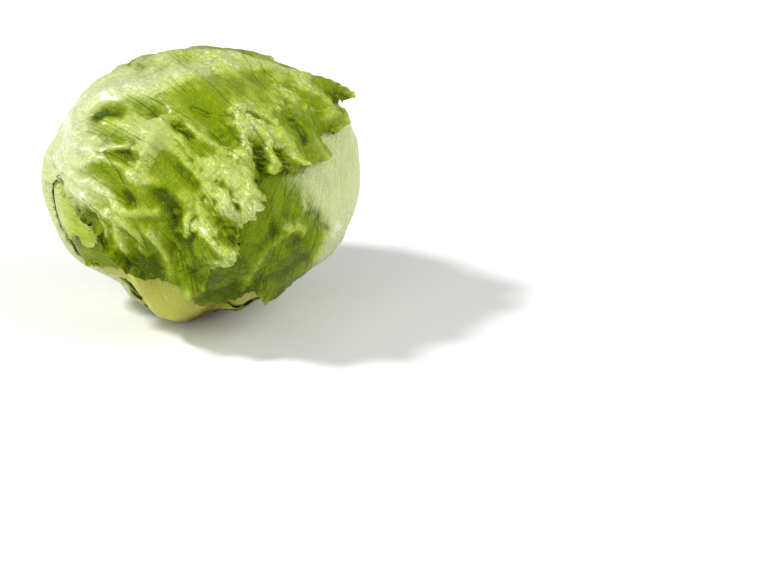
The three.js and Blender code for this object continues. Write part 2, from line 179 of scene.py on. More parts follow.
# Edges of the heart's outermost leaves: azimuth, elevation and reach in degrees, and their step in mm.
HEART_EDGES = ((205, 30, 62), (330, 35, 58), (85, 40, 60))
HEART_STEP = 1.1

# The front view: the camera looks down at the middle of the head, and the image is 772 by 579 points.
VIEW_DOWN = 20.0
VIEW_DISTANCE = 1109.0
VIEW_MIDDLE = (201.0, 185.0)
VIEW_SCALE = 2144.4
POINTS_PER_MM = 1.93
AIM_X = -0.7
# The lens in mm and half the floor's width in metres.
LENS = 100
FLOOR_HALF = 15
# How squarely a point faces the front view where folds start and are full, and where patches do.
FOLDS_FACE = (0.02, 0.22)
PATCHES_FACE = (-0.8, -0.3)
FOLD_GAIN = 1.6

# Folds seen in the front view, for each leaf: height in mm, half widths left and right of the fold's own
# direction in image points, how much paler it is painted, from -1 to 1, which is painted light on a crest
# and painted shade in a hollow, and the image points that it runs through.
FRONT_FOLDS = {
    "leaf_9_cap": (
        (2.4, 9, 4, 0.3, ((79, 146), (81, 122), (90, 109), (102, 100), (120, 95))),
        (1.2, 11, 7, 0.16, ((120, 95), (147, 90), (173, 85), (200, 77), (218, 69))),
        (-1.4, 8, 6, -0.2, ((98, 121), (108, 114), (122, 113))),
        (2.3, 5, 9, 0.3, ((139, 171), (148, 152), (158, 137), (164, 122))),
        (1.0, 5, 7, 0.21, ((136, 128), (150, 123), (164, 122))),
        (1.2, 5, 5, 0.24, ((117, 149), (128, 147))),
        (-1.0, 2.5, 2.5, -0.18, ((103, 153), (133, 153), (150, 161))),
        (1.2, 6, 4, 0.15, ((60, 160), (84, 151), (106, 152))),
        (1.1, 5, 3.5, 0.12, ((66, 168), (104, 158), (122, 168), (141, 180), (160, 186))),
        (1.2, 5, 3, 0.12, ((68, 176), (90, 182), (108, 195), (121, 209), (136, 213), (158, 212))),
        (0.9, 4, 3, 0.12, ((66, 184), (88, 200), (106, 214), (126, 222), (138, 236), (147, 254))),
        (1.4, 4, 4, 0.15, ((62, 184), (72, 197), (86, 209), (98, 224), (104, 236))),
        (-1.5, 7, 9, -0.36, ((160, 190), (172, 200), (180, 214))),
        (-0.9, 5, 5, -0.24, ((128, 194), (133, 204))),
        (-0.8, 3, 3, -0.18, ((178, 214), (181, 232), (188, 241), (196, 236), (195, 218))),
        (1.5, 5, 6, 0.06, ((187, 218), (188, 232))), (-1.5, 4, 4, -0.36, ((176, 126), (192, 138))),
        (1.6, 6, 3, 0.18, ((160, 142), (180, 158), (198, 176), (210, 194))),
        (1.2, 4, 3, 0.18, ((168, 132), (184, 148), (203, 163))),
        (1.2, 3, 3, 0.18, ((193, 128), (208, 142), (222, 154))),
        (0.9, 4, 4, 0.21, ((229, 110), (243, 110))),
        (-0.9, 2, 2, -0.18, ((195, 112), (215, 115), (233, 118), (246, 115), (258, 121), (270, 131))),
        (2.0, 7, 3, 0.24, ((237, 118), (243, 132), (246, 148), (245, 160))),
        (-1.2, 3, 4, -0.3, ((249, 136), (251, 150), (252, 162))),
        (1.6, 4, 3, 0.12, ((256, 126), (266, 142), (270, 160), (270, 178))),
        (-1.5, 4, 5, -0.42, ((258, 152), (261, 168), (262, 180))),
        (-1.5, 4, 4, -0.42, ((275, 150), (278, 164), (278, 178))),
        (2.0, 5, 4, 0.3, ((277, 138), (286, 150), (296, 163), (304, 172))),
        (-0.9, 3, 3, -0.24, ((292, 122), (296, 134), (300, 142))),
        (1.8, 12, 6, 0.24, ((212, 168), (224, 182), (226, 204))),
        (2.2, 9, 8, 0.3, ((238, 162), (246, 182), (250, 204))),
        (-1.6, 4, 3, -0.36, ((216, 183), (228, 192), (238, 207))),
        (-1.2, 3, 4, -0.3, ((257, 184), (262, 202))),
        (1.2, 4, 4, 0.24, ((242, 213), (251, 219), (246, 224))),
        (1.3, 3, 4, 0.24, ((200, 208), (206, 220), (214, 228))),
        (-1.0, 2.5, 2.5, -0.3, ((210, 235), (217, 242))),
        (1.4, 5, 4, 0.12, ((204, 232), (218, 246), (232, 252))),
        (1.2, 5, 5, 0.06, ((150, 232), (164, 250), (172, 270))),
        (1.2, 5, 5, 0.06, ((112, 214), (118, 232), (124, 250))),
        (1.2, 8, 4, 0.21, ((218, 69), (244, 67), (275, 70), (306, 75))),
        (1.0, 6, 8, 0.06, ((300, 84), (316, 100), (322, 118))),
    ),
    "leaf_7_right": (
        (1.6, 6, 6, 0.12, ((284, 224), (300, 228))),
        (1.4, 5, 5, 0.06, ((276, 190), (268, 214), (254, 238))),
        (0.8, 3, 3, 0, ((304, 192), (296, 222), (264, 250), (246, 277))),
        (-1.0, 5, 5, -0.18, ((268, 214), (272, 232))),
        (1.2, 7, 7, 0, ((330, 232), (312, 262), (290, 286))), (0.4, 4, 6, 0, ((262, 256), (246, 284))),
    ),
}
# Where an edge is torn back in the front view: how far in mm, and the tear's half width and course.
FRONT_NOTCHES = {
    "leaf_9_cap": (
        (7.0, 11, ((62, 188), (76, 202), (90, 218), (97, 232))), (4.0, 5, ((176, 284), (180, 290))),
        (4.0, 4, ((334, 132), (326, 138))), (9.0, 10, ((350, 92), (358, 110))),
        (5.0, 16, ((258, 48), (284, 56))), (-5.5, 6, ((52, 182), (56, 200), (62, 220))),
    ),
    "leaf_7_right": (
        (-18.0, 12, ((218, 287), (231, 297))),
    ),
}
# The browned edge of the cut in the front view, in image points.
FRONT_STAIN = ((184, 307), (200, 307), (214, 304), (226, 300))
# Soft patches of the front view: their middle and half sizes in image points, and what they add there
# to the painted light and shade, to the pale ground, which is partly the leaf's own paleness and partly
# painted light and shade, and to the crumpling, mostly from -1 to 1.
FRONT_PATCHES = {
    "leaf_9_cap": (
        (70, 120, 26, 60, 0, 0.35, 0.8), (130, 72, 70, 18, 0.21, 0.3, 0.7),
        (112, 122, 24, 18, -0.1, -0.5, 0.3), (150, 140, 18, 26, 0.21, 0.1, 0.2),
        (225, 190, 34, 44, 0.27, 0.2, 1.2), (170, 205, 26, 30, -0.36, -0.5, -0.2),
        (264, 166, 18, 22, -0.27, -0.2, 0.3), (160, 262, 64, 30, -0.3, -0.6, -0.2),
        (90, 190, 34, 24, 0, 0.1, -0.4), (108, 166, 30, 16, -0.1, -0.3, 0),
        (290, 90, 40, 26, 0.12, 0, 0.4), (215, 100, 40, 20, -0.06, -0.3, -0.2),
        (318, 145, 24, 26, 0, 0, -0.8), (345, 102, 16, 22, -0.3, 0, 1.4),
        (54, 172, 14, 14, 0, 0.2, -1.0), (270, 52, 40, 24, 0, 0.2, -1.0),
        (82, 218, 12, 14, 0, 0.1, -0.5), (128, 238, 30, 28, -0.15, -0.25, 0),
    ),
    "leaf_7_right": (
        (235, 296, 36, 14, 0.1, 0, 1.2), (340, 160, 34, 70, 0.24, 0.9, -0.3),
        (300, 195, 24, 24, 0.06, 0.1, -0.2), (285, 275, 80, 46, -0.9, -1.2, -0.2),
        (250, 250, 24, 30, 0, -0.5, 0),
    ),
}


# Noise

def lattice_noise(points, seed):
    """Smooth noise from -1 to 1 at rows of three numbers."""
    rng = np.random.default_rng(seed)
    order, value = rng.permutation(256), rng.uniform(-1, 1, 256)
    cell = np.floor(points).astype(int)
    part = points - cell
    part = part * part * (3 - 2 * part)
    total = np.zeros(len(points))
    for corner in np.ndindex(2, 2, 2):
        at = (cell + corner) & 255
        index = order[(order[(order[at[:, 0]] + at[:, 1]) & 255] + at[:, 2]) & 255]
        total += np.prod(np.where(corner, part, 1 - part), axis=1) * value[index]
    return total


def rough_noise(points, seed, octaves=3):
    """Lattice noise with finer and weaker copies of itself added."""
    return sum(lattice_noise(points * 2.03 ** k, seed + k) * 0.5 ** k for k in range(octaves)) / 1.75


def pillows(points, seed):
    """Cells like quilting: 0 in the net between them, rising to 1 on their crowns."""
    rng = np.random.default_rng(seed)
    order, jitter = rng.permutation(256), rng.uniform(0.1, 0.9, (256, 3))
    cell = np.floor(points).astype(int)
    nearest = np.full(len(points), 9.0)
    second = np.full(len(points), 9.0)
    for step in np.ndindex(3, 3, 3):
        at = cell + np.array(step) - 1
        wrapped = at & 255
        index = order[(order[(order[wrapped[:, 0]] + wrapped[:, 1]) & 255] + wrapped[:, 2]) & 255]
        away = np.linalg.norm(at + jitter[index] - points, axis=1)
        second = np.minimum(second, np.maximum(nearest, away))
        nearest = np.minimum(nearest, away)
    return np.clip((second - nearest) * 1.8, 0, 1) ** 0.7


# Directions on the head

def smooth(value, low, high):
    """A smooth step from 0 at low to 1 at high."""
    t = np.clip((value - low) / (high - low), 0, 1)
    return t * t * (3 - 2 * t)


def direction(azimuth, elevation):
    """Unit vectors at angles in degrees."""
    azimuth, elevation = np.radians(azimuth), np.radians(elevation)
    flat = np.cos(elevation)
    return np.stack([np.cos(azimuth) * flat, np.sin(azimuth) * flat, np.sin(elevation) + 0 * azimuth], -1)


def angle_between(a, b):
    """Degrees between unit vectors."""
    return np.degrees(np.arccos(np.clip((a * b).sum(-1), -1, 1)))


def closed_curve(points):
    """A smooth closed curve through the reach points, which never swings past them."""
    p = np.array(sorted(points), float)
    after = np.roll(p, -1, 0)
    gap = (after[:, 0] - p[:, 0]) % 360
    rise = (after[:, 1] - p[:, 1]) / gap
    before = np.roll(rise, 1)
    total = before + rise
    slope = np.where(before * rise > 0, 2 * before * rise / np.where(total == 0, 1, total), 0)

    def reach(bearing):
        bearing = np.asarray(bearing) % 360
        i = (np.searchsorted(p[:, 0], bearing, side="right") - 1) % len(p)
        j = (i + 1) % len(p)
        t = ((bearing - p[i, 0]) % 360) / gap[i]
        return ((1 + 2 * t) * (1 - t) ** 2 * p[i, 1] + t * (1 - t) ** 2 * gap[i] * slope[i]
                + t * t * (3 - 2 * t) * p[j, 1] + t * t * (t - 1) * gap[i] * slope[j])
    return reach


class Leaf:
    """One wrapper leaf: its outline, its footprint on the head and its own relief."""

    STEPS = 1440
    # What a leaf has where its values don't say otherwise.
    folds, spokes, stalk, rays, rings = (), 64, 16, None, None

    def __init__(self, index, values):
        self.index = index
        for key, value in values.items():
            setattr(self, key, value)
        self.out = direction(*self.hub)
        tip = -(DOWN - self.out * (DOWN @ self.out))
        self.tip = tip / np.linalg.norm(tip)
        self.side = np.cross(self.tip, self.out)
        self.curve = closed_curve(self.reach)
        bearings = np.linspace(0, 360, self.STEPS + 1)
        outline = self.from_hub(bearings, self.edge(bearings))
        steps = np.degrees(np.linalg.norm(np.diff(outline, axis=0), axis=1))
        length = np.concatenate([[0], np.cumsum(steps)])
        self.bearings, self.edge_length = bearings, length[-1]
        self.edge_share = (EDGE_SHARE * length / length[-1]
                           + (1 - EDGE_SHARE) * np.arange(self.STEPS + 1) / self.STEPS)
        self.outline, self.outline_share = outline[:-1:2], self.edge_share[:-1:2]
        self.chord = np.roll(self.outline, -1, 0) - np.roll(self.outline, 1, 0)
        outwards = np.cross(self.chord, self.outline)
        outwards /= np.linalg.norm(outwards, axis=1)[:, None]
        self.outwards = outwards * np.sign(((self.outline - self.out) * outwards).sum())
        self.footprint_map = self.draw_footprint()

    def from_hub(self, bearing, distance):
        """The direction at a bearing and distance from the hub."""
        bearing, distance = np.radians(bearing)[..., None], np.radians(distance)[..., None]
        return (self.out * np.cos(distance) + self.tip * (np.cos(bearing) * np.sin(distance))
                + self.side * (np.sin(bearing) * np.sin(distance)))

    def bearing_distance(self, d):
        """The bearing and distance of a direction from the hub."""
        return np.degrees(np.arctan2(d @ self.side, d @ self.tip)) % 360, angle_between(d, self.out)

    def stem_limit(self, bearing):
        """The distance at which a bearing meets the stem's own small circle."""
        pole = math.radians(90 + self.hub[1])
        circle = math.degrees(math.asin(STEM_RADIUS / HEART["down"])) - 1
        a, b = math.cos(pole), math.sin(pole) * np.cos(np.radians(180 - bearing))
        reachable = math.cos(math.radians(circle)) / np.hypot(a, b)
        limit = np.degrees(np.arctan2(b, a) - np.arccos(np.clip(reachable, -1, 1)))
        return np.where((b > 0) & (reachable <= 1), limit, np.inf)

    def edge(self, bearing):
        """The leaf's reach at a bearing, in degrees."""
        near_stem = np.where(np.cos(np.radians(180 - bearing)) > 0, 90 + self.hub[1] - 4, np.inf)
        return np.minimum(np.minimum(self.curve(bearing), self.stem_limit(bearing)), near_stem)

    def draw_footprint(self):
        """The footprint at each whole degree: 1 over the leaf, falling to 0 round it."""
        azimuth, elevation = np.meshgrid(np.arange(361), np.arange(-90, 91))
        d = direction(azimuth.ravel(), elevation.ravel())
        bearing, distance = self.bearing_distance(d)
        away = self.nearest_edge(d)[1]
        beside = 1 - smooth(away, FOOT_MARGIN, FOOT_MARGIN + FOOT_FALL)
        return np.where(distance <= self.edge(bearing), 1, beside).reshape(azimuth.shape)

    def nearest_edge(self, d):
        """The outline point nearest to each direction, the degrees to it and its share of the outline."""
        parts = np.array_split(d, len(d) // 20000 + 1)
        index = np.concatenate([np.argmax(part @ self.outline.T, axis=1) for part in parts])
        chord = self.chord[index]
        along = np.clip(((d - self.outline[index]) * chord).sum(1) / (chord * chord).sum(1), -0.5, 0.5)
        step = (np.roll(self.outline_share, -1) - np.roll(self.outline_share, 1)) % 1
        share = self.outline_share[index] + along * step[index]
        return index, angle_between(d, self.outline[index]), share

    def footprint(self, d):
        """The footprint at directions, read between the whole degrees."""
        azimuth = np.degrees(np.arctan2(d[:, 1], d[:, 0])) % 360
        elevation = np.degrees(np.arcsin(np.clip(d[:, 2], -1, 1))) + 90
        i, j = np.minimum(azimuth.astype(int), 359), np.minimum(elevation.astype(int), 179)
        u, v = azimuth - i, elevation - j
        m = self.footprint_map
        return ((m[j, i] * (1 - u) + m[j, i + 1] * u) * (1 - v)
                + (m[j + 1, i] * (1 - u) + m[j + 1, i + 1] * u) * v)

    def along_rib(self, d):
        """Degrees across and along the line from the stem through the hub."""
        across = np.degrees(np.arcsin(np.clip(d @ self.side, -1, 1)))
        along = np.degrees(np.arctan2(d @ self.tip, d @ self.out))
        return across, along

    def rib_share(self, d):
        """1 on the crest of the midrib, falling to 0 beside it."""
        across, along = self.along_rib(d)
        stem_end = -(90 + self.hub[1])
        shape = smooth(along, stem_end + 8, stem_end + 38) * (1 - smooth(along, -18, self.rib[2]))
        half_width = math.degrees(self.rib[1] / HEART["x"])
        return shape * (d @ self.out > -0.7) * np.exp(-(across / half_width) ** 2)

    def fold_height(self, bearing, distance):
        """The height of the leaf's own folds, in mm."""
        height = 0
        for at_bearing, at, turn, half_length, half_width, top in self.folds:
            turned = math.radians(turn)
            x = distance * np.sin(np.radians(bearing)) - at * math.sin(math.radians(at_bearing))
            y = distance * np.cos(np.radians(bearing)) - at * math.cos(math.radians(at_bearing))
            along = x * math.sin(turned) + y * math.cos(turned)
            across = x * math.cos(turned) - y * math.sin(turned)
            height = height + top * np.exp(-(along / half_length) ** 2 - (across / half_width) ** 2)
        return height

    def bearing_of_column(self, share):
        """The bearing of a column, from the stem side round to the stem side again."""
        shares = np.interp(180, self.bearings, self.edge_share) + share
        return 360 * np.floor(shares) + np.interp(shares % 1, self.edge_share, self.bearings)


leaves = [Leaf(index, values) for index, values in enumerate(LEAVES)]


# Surfaces, as a distance in mm from the middle of the head

def body_radius(d):
    """The heart's plain form."""
    x, y, z = d.T
    half = np.where(z > 0, HEART["up"], HEART["down"])
    radius = 1 / np.sqrt((x / HEART["x"]) ** 2 + (y / HEART["y"]) ** 2 + (z / half) ** 2)
    for azimuth, elevation, height, spread in BUMPS:
        radius += height * np.exp(-(angle_between(d, direction(azimuth, elevation)) / spread) ** 2)
    for wave, phase, height in SWELLS:
        radius += height * np.sin(d @ np.array(wave) + phase) * smooth(d[:, 2], -0.95, -0.4)
    return radius


def lying_on(index, d):
    """What lies under a leaf: the heart and the leaves before it."""
    radius = body_radius(d)
    for under in leaves[:index]:
        radius += under.footprint(d) * (LAYER_PITCH + under.rib[0] * under.rib_share(d))
    return radius


def open_sky(index, d):
    """1 where no later leaf lies over this one, 0 where one does."""
    sky = np.ones(len(d))
    for over in leaves[index + 1:]:
        sky *= 1 - over.footprint(d)
    return sky


def place_on_head(d, radius, lowest):
    """Points in mm, kept off the floor and clear of the stem."""
    points = d * radius[:, None]
    points[:, 2] = np.maximum(points[:, 2] + CENTRE_HEIGHT, lowest)
    from_axis = np.maximum(np.hypot(points[:, 0], points[:, 1]), 1e-6)
    outwards = np.maximum(1, (STEM_RADIUS + STEM_GAP) / from_axis)
    points[:, :2] *= np.where(points[:, 2] < CENTRE_HEIGHT, outwards, 1)[:, None]
    return points


def stem_shift():
    """How far the middle of the stem stands from the origin, in mm."""
    low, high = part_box("stem")
    return np.array([(low[0] + high[0]) / 2, (low[1] + high[1]) / 2, 0]) / MM


def front_view(d, radius):
    """Where points show in the front view, and how squarely they face it."""
    down = math.radians(VIEW_DOWN)
    back = np.array([0, -math.cos(down), math.sin(down)])
    right, up = np.array([1.0, 0, 0]), np.array([0, math.sin(down), math.cos(down)])
    q = d * radius[:, None] + stem_shift() - np.array([AIM_X, 0, 0])
    scale = VIEW_SCALE / (VIEW_DISTANCE - q @ back)
    return VIEW_MIDDLE[0] + q @ right * scale, VIEW_MIDDLE[1] - q @ up * scale, d @ back


def along_fold(x, y, points, left, right):
    """1 on a fold through image points, falling to 0 at its own half width on either side."""
    best = np.full(len(x), 1e9)
    share = np.zeros(len(x))
    for (x0, y0), (x1, y1) in zip(points, points[1:]):
        dx, dy = x1 - x0, y1 - y0
        t = np.clip(((x - x0) * dx + (y - y0) * dy) / (dx * dx + dy * dy), 0, 1)
        away = np.hypot(x - x0 - t * dx, y - y0 - t * dy)
        side = (dx * (y - y0) - dy * (x - x0)) / (math.hypot(dx, dy) * np.maximum(away, 1e-6))
        side = np.clip(side, -1, 1)
        value = np.exp(-(away / (left + (right - left) * (0.5 + 0.5 * side))) ** 2)
        share = np.where(away < best, value, share)
        best = np.minimum(best, away)
    return share


def front_relief(leaf, x, y, facing):
    """A leaf's listed folds and patches: height in mm, painted light and shade, pale ground and crumpling.
    """
    height, shade_and_tone, pale, crumple = (np.zeros(len(x)) for _ in range(4))
    sway_x = 3.0 * lattice_noise(np.stack([x / 14, y / 14, 0 * x], -1), 71)
    sway_y = 3.0 * lattice_noise(np.stack([x / 14, y / 14, 0 * x], -1), 72)
    for rise, left, right, paler, points in FRONT_FOLDS.get(leaf.name, ()):
        share = along_fold(x + sway_x, y + sway_y, points, left, right) * smooth(facing, *FOLDS_FACE)
        height += FOLD_GAIN * rise * share
        # A fold's paler value paints light on its crest and shade in its hollow.
        shade_and_tone += paler * share
    for at_x, at_y, half_x, half_y, paler, ground, rougher in FRONT_PATCHES.get(leaf.name, ()):
        share = np.exp(-((x - at_x) / half_x) ** 2 - ((y - at_y) / half_y) ** 2)
        share = share * smooth(facing, *PATCHES_FACE)
        shade_and_tone += paler * share
        pale += ground * share
        crumple += rougher * share
    return height, shade_and_tone, pale, crumple


def vein_map(leaf, bearing, distance, x, y):
    """Millimetres across and along a leaf's veins, which fan from its hub unless it has rays or rings."""
    if leaf.rings:
        dx, dy = x - leaf.rings[0], y - leaf.rings[1]
        return np.hypot(dx, dy) / POINTS_PER_MM, np.arctan2(dx, -dy) * RING_SPREAD
    if leaf.rays:
        dx, dy = x - leaf.rays[0], y - leaf.rays[1]
        return np.arctan2(dx, dy) * RAY_SPREAD, np.hypot(dx, dy) / POINTS_PER_MM
    return np.radians(bearing) * HUB_SPREAD, distance * MM_PER_DEGREE


def around(share, waves):
    """Points on a circle for noise that closes on itself after one turn, with so many waves in it."""
    turn = 2 * math.pi * share
    return np.stack([np.cos(turn) * waves / 6.28, np.sin(turn) * waves / 6.28, 0 * share], -1)


def teeth(share, waves, seed):
    """Pointed teeth round a closed edge, from -1 to 1."""
    return 1 - 3.2 * np.abs(lattice_noise(around(share, waves), seed))


def leaf_surface(leaf, column, share, inner):
    """Points of a leaf in mm and its material's values, by share of the way round and of the reach."""
    bearing = leaf.bearing_of_column(column)
    edge = leaf.edge(bearing)
    edge_share = np.interp(bearing % 360, leaf.bearings, leaf.edge_share)
    edge_mm = leaf.edge_length * MM_PER_DEGREE
    wave = np.cos(2 * math.pi * edge_share * leaf.spokes / WAVE_SPOKES)
    free = smooth(angle_between(leaf.from_hub(bearing, edge), DOWN), *FRILL_START)
    rib_across, rib_along = leaf.along_rib(leaf.from_hub(bearing, share * edge))
    stalk = smooth(-rib_along, 6, 26) * (1 - smooth(np.abs(rib_across), leaf.stalk - 4, leaf.stalk + 4))
    free = free * (1 - stalk)
    reach_left = (1 - share) * np.maximum(edge, 5) * MM_PER_DEGREE
    tooth = np.exp(-reach_left / FADE["tooth"]) * leaf.tooth * wave * 0.8 * free
    distance = np.maximum(share * edge + tooth, 0)
    d = leaf.from_hub(bearing, distance)
    sky = open_sky(leaf.index, d)
    index, away, edge_share = leaf.nearest_edge(d)
    margin = away * MM_PER_DEGREE
    x, y, facing = front_view(d, lying_on(leaf.index, d))
    placed, shade_and_tone, paler, crumple = front_relief(leaf, x, y, facing)
    ragged = free * np.clip(1 + crumple, 0, 2)

    # The outline, with lobes, teeth and small nicks, except on the stalk.
    seed = 100 * leaf.index
    calm = np.minimum(ragged, 1)
    lobes = rough_noise(around(edge_share, edge_mm / LOBE), seed + 1) * 1.5
    lobes = lobes + teeth(edge_share, edge_mm / TOOTH, seed + 2) * 0.8
    nicks = teeth(edge_share, edge_mm / NICK, seed + 3) * 0.9
    jag = lobes * calm + nicks * np.maximum(ragged, 0.5 * free)
    jag = jag * leaf.jag * free * (1 - 0.4 * np.clip(crumple, 0, 1)) * np.exp(-margin / FADE["jag"])
    for back, half, course in FRONT_NOTCHES.get(leaf.name, ()):
        jag = jag - back * along_fold(x, y, course, half, half) * np.exp(-margin / FADE["notch"])
    d = d + leaf.outwards[index] * np.radians(jag / MM_PER_DEGREE)[:, None]
    d /= np.linalg.norm(d, axis=1)[:, None]
    under = lying_on(leaf.index, d)
    across, along = vein_map(leaf, bearing, distance, x, y)

    # Lift and folds as in the solids, and then finer relief of the leaf's own.
    lift = leaf.frill * smooth(share, FRILL_FROM, 1) * free * smooth(edge, *FRILL_REACH)
    lift = lift * (0.5 + 0.5 * wave) * (1 - 0.75 * np.clip(-crumple, 0, 1))
    own = (lift + leaf.fold_height(bearing, distance)) * sky
    ruffle = 0
    for length_mm, high, fall, more, where in RUFFLE_WAVES:
        waves = lattice_noise(around(edge_share, edge_mm / length_mm), seed + more)
        ruffle = ruffle + waves * high * np.exp(-margin / fall) * (calm if where == "calm" else ragged)
    ruffle = ruffle * np.clip(leaf.frill / 4, 0, 1)
    flat = across * 0 + seed
    pleats = rough_noise(np.stack([across / PLEAT[0], along / PLEAT[1], flat], -1), seed + 6, 2)
    fine = rough_noise(np.stack([across / WRINKLE[0], along / WRINKLE[1], flat], -1), seed + 7, 2)
    broad = rough_noise(d * 4 + 7.3, seed + 8)
    puckers = pillows(d * 17 + 0.4 * np.stack([fine, broad, pleats], -1), seed + 9) - 0.45
    patchy = smooth(rough_noise(d * 3 + 3.1, seed + 10) + 0.5 * crumple, -0.25, 0.5)
    rib = leaf.rib_share(d) * (1 - 0.85 * np.exp(-(margin / 5) ** 2))
    blade = (1 - 0.85 * np.maximum(rib, stalk)) * smooth(distance, 6, 30)
    blade = blade * (1 - 0.75 * np.clip(leaf.pale / 70, 0, 1) ** 3)
    blisters = (0.3 + 0.7 * patchy) * (puckers + 0.7 * fine) * (1 + 1.2 * np.clip(crumple, 0, 1))
    relief = 1.5 * broad + 1.5 * pleats + blisters
    relief = relief * blade * (0.2 + 0.8 * sky) + (np.maximum(ruffle, -1.6) + placed) * sky
    # The edge leans towards what it lies on, most of all beside the stalk.
    relief -= (0.6 + 1.3 * stalk) * np.exp(-margin / FADE["lean"])

    under += own + np.maximum(relief, -DEEPEST - 0.4 * np.abs(relief))
    thin = EDGE_THICKNESS + (LEAF_THICKNESS - EDGE_THICKNESS) * (1 - np.exp(-margin / FADE["thin"]))
    outer = under + LEAF_THICKNESS + leaf.rib[0] * rib
    radius = np.where(inner, outer - thin - leaf.rib[0] * rib, outer)
    points = place_on_head(d, radius, np.where(inner, thin, 0))

    # The very edge curls back over itself here and there.
    curl = lattice_noise(around(edge_share, edge_mm / 7), seed + 11)
    curl = CURL * curl * np.exp(-margin / FADE["curl"]) * calm * sky
    points -= leaf.outwards[index] * curl[:, None]

    pale = np.clip(np.exp(-(distance / leaf.pale) ** 2) + rib * 0.9 + paler, 0, 1)
    # Crest is the relief's height with the painted light and shade added: the material paints high places
    # lighter and hollows darker from it, and makes the crests glossier.
    crest = np.clip(0.5 + relief / 4 + shade_and_tone * 0.42 + leaf.fold_height(bearing, distance) / 12, 0, 1)
    pale = np.maximum(pale, smooth(-rib_along, 0, 25) * np.exp(-(rib_across / leaf.stalk / 1.3) ** 4))
    stained = np.maximum(1 - smooth(angle_between(d, DOWN), 12, 30), along_fold(x, y, FRONT_STAIN, 4, 4))
    # The edge value marks where the material paints a glow of light through the thin edge.
    return points, {"veins": (across / 10, along / 10), "rib": (rib_across / 100, rib_along / 100)}, {
        "pale": pale, "crest": crest, "edge": np.exp(-margin / FADE["edge_glow"]) * free, "stem_end": stained}


# Meshes

def keep_value(mesh, name, values):
    """Stores one number for each vertex, for the materials."""
    mesh.attributes.new(name, "FLOAT", "POINT").data.foreach_set("value", values.astype(np.float32))


def keep_map(mesh, name, x, y):
    """Stores a UV map from two numbers for each vertex."""
    corner = np.empty(len(mesh.loops), np.int32)
    mesh.loops.foreach_get("vertex_index", corner)
    mesh.uv_layers.new(name=name).data.foreach_set(
        "uv", np.stack([x[corner], y[corner]], -1).astype(np.float32).ravel())


def mesh_from(bm, name):
    """The mesh of a bmesh, which isn't needed after that."""
    mesh = bpy.data.meshes.new(name)
    bm.to_mesh(mesh)
    bm.free()
    return mesh


def points_of(mesh):
    """The points of a mesh, as rows of three numbers."""
    flat = np.empty(len(mesh.vertices) * 3, np.float32)
    mesh.vertices.foreach_get("co", flat)
    return flat.reshape(-1, 3).astype(float)


def finish_mesh(mesh, merge=1e-6):
    """Closes seams and poles, points the faces outwards and smooths the shading."""
    bm = bmesh.new()
    bm.from_mesh(mesh)
    bmesh.ops.remove_doubles(bm, verts=bm.verts, dist=merge)
    bmesh.ops.dissolve_degenerate(bm, edges=bm.edges, dist=merge)
    bmesh.ops.recalc_face_normals(bm, faces=bm.faces)
    bm.to_mesh(mesh)
    bm.free()
    mesh.shade_smooth()


def finish_skin(mesh, points, maps, values):
    """Places the points of a leaf or the heart, in mm, and stores what the material needs there."""
    mesh.vertices.foreach_set("co", ((points + stem_shift()) * MM).astype(np.float32).ravel())
    for name, (x, y) in maps.items():
        keep_map(mesh, name, x, y)
    for name, numbers in values.items():
        keep_value(mesh, name, numbers)
    finish_mesh(mesh)
    return mesh


def add_piece(name, mesh, material, slot, *nodes):
    """Puts a finished mesh in the scene as a piece of the part."""
    piece = bpy.data.objects.new(name, mesh)
    bpy.context.scene.collection.objects.link(piece)
    mesh.materials.append(material)
    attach(piece, "root")
    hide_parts(*nodes)
    return piece


def leaf_rows(count):
    """Where each row lies: 0 to 1 down the outer face to the edge, and 1 to 2 back up the inner face."""
    t = np.linspace(0, 1, count + 1)
    outer = 1 - (1 - t) ** 1.3
    inner = 1 + np.linspace(0, 1, INNER_ROWS + 1)[1:] ** 1.4
    return np.concatenate([outer, inner])


def leaf_mesh(leaf):
    """One closed sheet: a grid whose rows run from the hub over the edge and back underneath."""
    bm = bmesh.new()
    outer_rows = round(leaf.columns * 0.75)
    rows = leaf_rows(outer_rows)
    count = len(rows) - 1
    bmesh.ops.create_grid(bm, x_segments=leaf.columns, y_segments=count, size=0.5)
    # Further out the rows are longer, so they get more points.
    for start, past in MORE_POINTS:
        low, high = start * outer_rows / count - 0.5, (outer_rows + past) / count - 0.5
        across = [e for e in bm.edges
                  if abs(e.verts[0].co.y - e.verts[1].co.y) < 1e-5 and low < e.verts[0].co.y < high]
        bmesh.ops.subdivide_edges(bm, edges=across, cuts=1)
    mesh = mesh_from(bm, leaf.name)
    flat = points_of(mesh) + 0.5
    row = np.interp(flat[:, 1] * count, np.arange(len(rows)), rows)
    share = np.where(row > 1, 2 - row, row)
    return finish_skin(mesh, *leaf_surface(leaf, np.clip(flat[:, 0], 0, 1), share, row > 1))


# Materials

def srgb(red, green, blue):
    """A colour as seen, from 0 to 255, made linear, as a property takes it."""
    shares = (red / 255, green / 255, blue / 255)
    return tuple(((v + 0.055) / 1.055) ** 2.4 if v > 0.04 else v / 12.92 for v in shares)


